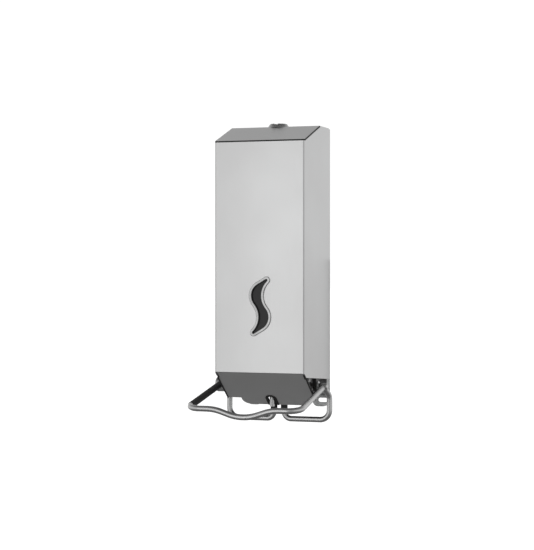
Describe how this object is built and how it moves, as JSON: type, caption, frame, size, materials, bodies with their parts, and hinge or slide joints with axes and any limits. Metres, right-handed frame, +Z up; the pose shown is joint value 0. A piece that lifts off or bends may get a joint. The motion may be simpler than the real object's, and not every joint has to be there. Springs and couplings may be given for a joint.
{
  "type": "wall mounted soap dispenser",
  "caption": "Tall folded-steel soap dispenser for a wall, worked by a bent-rod elbow lever, with a sight window, a lockable top lid and a tank and plunger pump inside.",
  "frame": {"origin": "on the wall face of the back plate, on its centre line, about mid height of the housing", "axes": "+X to the right as seen from the front, +Y into the wall, so the front faces -Y, +Z up"},
  "size_m": [0.1475, 0.1725, 0.3648],
  "materials": {
    "satin_steel": "satin, fine vertical grain",
    "polished_steel": "polished",
    "dark_chrome": "dark, polished",
    "dark_steel": "dark grey, satin",
    "zinc_steel": "dull galvanised",
    "fasteners": "bright zinc",
    "spring_steel": "drawn wire",
    "black_rubber": "matt",
    "black_plastic": "moulded, matt",
    "frosted_plastic": "translucent, natural polyethylene",
    "white_plastic": "moulded, satin",
    "smoked_plastic": "dark smoked, glossy"
  },
  "bodies": {
    "housing": {"housing_shell": "satin_steel", "back_plate": "zinc_steel", "apron_panel": "dark_steel", "apron_edge_trims": "black_rubber", "notch_trim": "black_rubber", "mech_bracket": "zinc_steel", "tank_shelf": "zinc_steel", "shelf_screws": "fasteners", "shaft_bearings": "black_plastic", "bearing_rivets": "fasteners", "stop_bracket": "zinc_steel", "stop_bumper": "black_rubber", "return_spring": "spring_steel", "tank": "frosted_plastic", "tank_gasket": "black_rubber", "tank_nut": "white_plastic", "pump_body": "white_plastic", "cylinder_cap": "white_plastic", "pump_spring": "spring_steel", "inlet_valve": "black_rubber", "outlet_valve": "black_rubber", "spout_nozzle": "polished_steel", "lid_hinge_pin": "polished_steel", "hinge_strip": "polished_steel", "lid_rest": "zinc_steel", "lock_keeper": "zinc_steel", "window_rim": "dark_chrome", "window_pane": "smoked_plastic", "window_retainer": "zinc_steel", "window_studs": "fasteners", "stud_nuts": "fasteners"},
    "lever": {"lever_frame": "polished_steel", "pusher_sleeve": "black_rubber", "arm_sleeve": "black_rubber", "pivot_shaft": "polished_steel", "thrust_washers": "zinc_steel"},
    "plunger": {"pump_plunger": "black_plastic", "plunger_seal": "black_rubber"},
    "lid": {"top_lid": "satin_steel", "lid_seal": "black_rubber", "lock_housing": "polished_steel", "lock_nut": "zinc_steel"},
    "lock": {"lock_barrel": "polished_steel", "lock_cam": "zinc_steel", "cam_screw": "fasteners"},
    "cap": {"tank_cap": "white_plastic"}
  },
  "joints": [
    {"name": "lever_press", "type": "hinge", "parent": "housing", "child": "lever", "pos_m": [0, -0.0468, -0.1535], "axis": [1, 0, 0], "range_deg": [0, 16], "stiffness_Nm_per_rad": 1, "springref_deg": -17.19, "deforming": ["return_spring"]},
    {"name": "plunger_slide", "type": "slide", "parent": "housing", "child": "plunger", "axis": [0, -1, 0], "range_m": [0, 0.0075], "stiffness_N_per_m": 400, "springref_m": -0.008, "deforming": ["pump_spring"]},
    {"name": "lid_open", "type": "hinge", "parent": "housing", "child": "lid", "pos_m": [0, -0.0046, 0.1596], "axis": [-1, 0, 0], "range_deg": [0, 80]},
    {"name": "lock_turn", "type": "hinge", "parent": "lid", "child": "lock", "pos_m": [0, -0.036, 0.151], "axis": [0, 0, -1], "range_deg": [0, 90]},
    {"name": "cap_lift", "type": "slide", "parent": "housing", "child": "cap", "axis": [0, 0, 1], "range_m": [0, 0.04]}
  ],
  "couplings": [
    {"joint": "plunger_slide", "follows": "lever_press", "m_per_rad": 0.0264}
  ]
}
